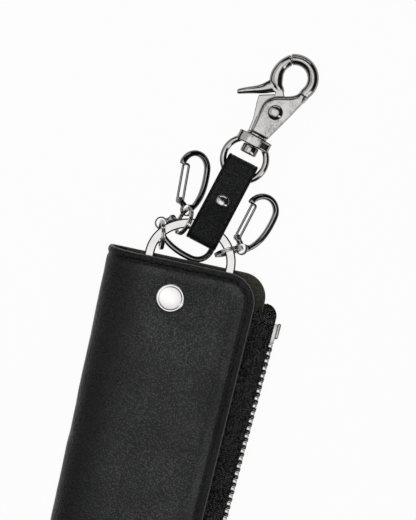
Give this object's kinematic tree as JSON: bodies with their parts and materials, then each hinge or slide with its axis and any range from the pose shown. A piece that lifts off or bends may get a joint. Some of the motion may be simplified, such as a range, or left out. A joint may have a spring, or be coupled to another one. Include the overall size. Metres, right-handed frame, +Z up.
{
  "type": "key case",
  "caption": "Folding leather key case with a zip pocket along its side, a metal bail with split rings and wire-gate clips, and a leather strap with a swivelling trigger snap.",
  "frame": {"origin": "middle of the back panel's outer face, which the case lies on", "axes": "+X from the spine to the zip, +Y along the spine towards the bail and the snap, +Z up through the flap"},
  "size_m": [0.0783, 0.2366, 0.0173],
  "materials": {
    "case_leather": "black pebbled leather, semi-matt",
    "leaf_leather": "olive-grey leather",
    "lining_cloth": "plain woven lining",
    "zip_tape": "black herringbone tape",
    "thread": "black waxed thread",
    "zip_metal": "bright tumbled metal",
    "silver_plate": "bright nickel plate",
    "gunmetal": "dark gunmetal plate",
    "hook_plate": "satin silver plate",
    "strap_leather": "black smooth leather",
    "spring_steel": "spring steel"
  },
  "bodies": {
    "case": {"back_panel": "case_leather", "back_lining": "lining_cloth", "pocket_gusset": "lining_cloth", "pocket_leaf": "leaf_leather", "leaf_lining": "lining_cloth", "zip_tape_front": "zip_tape", "zip_tape_rear": "zip_tape", "zip_teeth_front": "zip_metal", "zip_teeth_rear": "zip_metal", "zip_end_stop": "zip_metal", "zip_top_stops": "zip_metal", "key_plate": "silver_plate", "key_plate_rivets": "silver_plate", "bail_hinge_pin": "silver_plate", "snap_stud": "silver_plate", "snap_stud_post": "silver_plate"},
    "flap": {"front_flap": "case_leather", "flap_lining": "lining_cloth", "flap_stitching": "thread", "snap_cap": "silver_plate", "snap_socket": "silver_plate"},
    "bail": {"bail": "silver_plate"},
    "ring_left": {"split_ring_left": "silver_plate"},
    "ring_middle": {"split_ring_middle": "silver_plate"},
    "ring_right": {"split_ring_right": "silver_plate"},
    "clip_left": {"clip_left": "gunmetal"},
    "clip_middle": {"clip_middle": "gunmetal"},
    "clip_right": {"clip_right": "gunmetal"},
    "gate_left": {"clip_gate_left": "gunmetal"},
    "gate_middle": {"clip_gate_middle": "gunmetal"},
    "gate_right": {"clip_gate_right": "gunmetal"},
    "strap": {"strap": "strap_leather", "strap_stitching": "thread", "strap_rivet_cap": "silver_plate", "strap_rivet_post": "silver_plate"},
    "swivel_ring": {"swivel_eye": "hook_plate"},
    "hook": {"swivel_stud": "hook_plate", "swivel_washer": "hook_plate", "hook_body": "hook_plate", "hook_rivet": "hook_plate", "lever_spring": "spring_steel"},
    "trigger": {"trigger_lever": "hook_plate"},
    "slider": {"zip_slider": "zip_metal"},
    "pull": {"zip_pull": "zip_metal"}
  },
  "joints": [
    {"name": "flap_fold", "type": "hinge", "parent": "case", "child": "flap", "pos_m": [-0.0348, 0, 0.0078], "axis": [0, -1, 0], "range_deg": [0, 175]},
    {"name": "bail_swing", "type": "hinge", "parent": "case", "child": "bail", "pos_m": [0, 0.058, 0.0105], "axis": [1, 0, 0], "range_deg": [-2, 14]},
    {"name": "ring_left_swing", "type": "hinge", "parent": "bail", "child": "ring_left", "pos_m": [-0.01425, 0.07309, 0.0105], "axis": [-0.618, -0.7862, 0], "range_deg": [-2, 1.5]},
    {"name": "clip_left_swing", "type": "hinge", "parent": "ring_left", "child": "clip_left", "pos_m": [-0.0154, 0.07696, 0.00642], "axis": [0.0335, 0.5075, 0.861], "range_deg": [-1, 8]},
    {"name": "gate_left_open", "type": "hinge", "parent": "clip_left", "child": "gate_left", "pos_m": [-0.01115, 0.07999, 0.00531], "axis": [-0.1825, -0.1029, -0.9778], "range_deg": [0, 22], "stiffness_Nm_per_rad": 0.02, "springref_deg": -17.19},
    {"name": "ring_middle_swing", "type": "hinge", "parent": "bail", "child": "ring_middle", "pos_m": [-0.00621, 0.07868, 0.0105], "axis": [-0.9467, -0.322, 0], "range_deg": [-3, 3]},
    {"name": "clip_middle_swing", "type": "hinge", "parent": "ring_middle", "child": "clip_middle", "pos_m": [-0.00606, 0.08465, 0.00707], "axis": [0.4434, 0.4677, 0.7646], "range_deg": [-10, 10]},
    {"name": "gate_middle_open", "type": "hinge", "parent": "clip_middle", "child": "gate_middle", "pos_m": [-0.00955, 0.08801, 0.00933], "axis": [-0.5845, -0.0623, -0.809], "range_deg": [0, 22], "stiffness_Nm_per_rad": 0.02, "springref_deg": -17.19},
    {"name": "ring_right_swing", "type": "hinge", "parent": "bail", "child": "ring_right", "pos_m": [0.01548, 0.07129, 0.0105], "axis": [-0.4997, 0.8662, 0], "range_deg": [-3, 3]},
    {"name": "clip_right_swing", "type": "hinge", "parent": "ring_right", "child": "clip_right", "pos_m": [0.02027, 0.07351, 0.00542], "axis": [0.2055, 0.2692, 0.9409], "range_deg": [-10, 6]},
    {"name": "gate_right_open", "type": "hinge", "parent": "clip_right", "child": "gate_right", "pos_m": [0.01758, 0.07779, 0.00717], "axis": [-0.4311, 0.0957, -0.8972], "range_deg": [0, 22], "stiffness_Nm_per_rad": 0.02, "springref_deg": -17.19},
    {"name": "strap_swing", "type": "hinge", "parent": "bail", "child": "strap", "pos_m": [0.00471, 0.07912, 0.0105], "axis": [0.9636, -0.2672, 0], "range_deg": [0, 8]},
    {"name": "swivel_ring_tilt", "type": "hinge", "parent": "strap", "child": "swivel_ring", "pos_m": [0.0114, 0.10323, 0.00515], "axis": [0.9636, -0.2672, 0], "range_deg": [-25, 5]},
    {"name": "hook_swivel", "type": "hinge", "parent": "swivel_ring", "child": "hook", "pos_m": [0.01355, 0.11099, 0.00515], "axis": [0.2672, 0.9636, 0], "continuous": true},
    {"name": "trigger_pull", "type": "hinge", "parent": "hook", "child": "trigger", "pos_m": [0.02211, 0.1329, 0.00515], "axis": [0, 0, 1], "range_deg": [0, 22], "stiffness_Nm_per_rad": 0.05, "springref_deg": -17.19},
    {"name": "zip_slide", "type": "slide", "parent": "case", "child": "slider", "axis": [0.0454, 0.999, 0], "range_m": [0, 0.0835], "deforming": ["zip_teeth_front", "zip_teeth_rear"]},
    {"name": "pull_swing", "type": "hinge", "parent": "slider", "child": "pull", "pos_m": [0.04034, -0.0531, 0.0043], "axis": [0, 0, 1], "range_deg": [0, 175]}
  ]
}
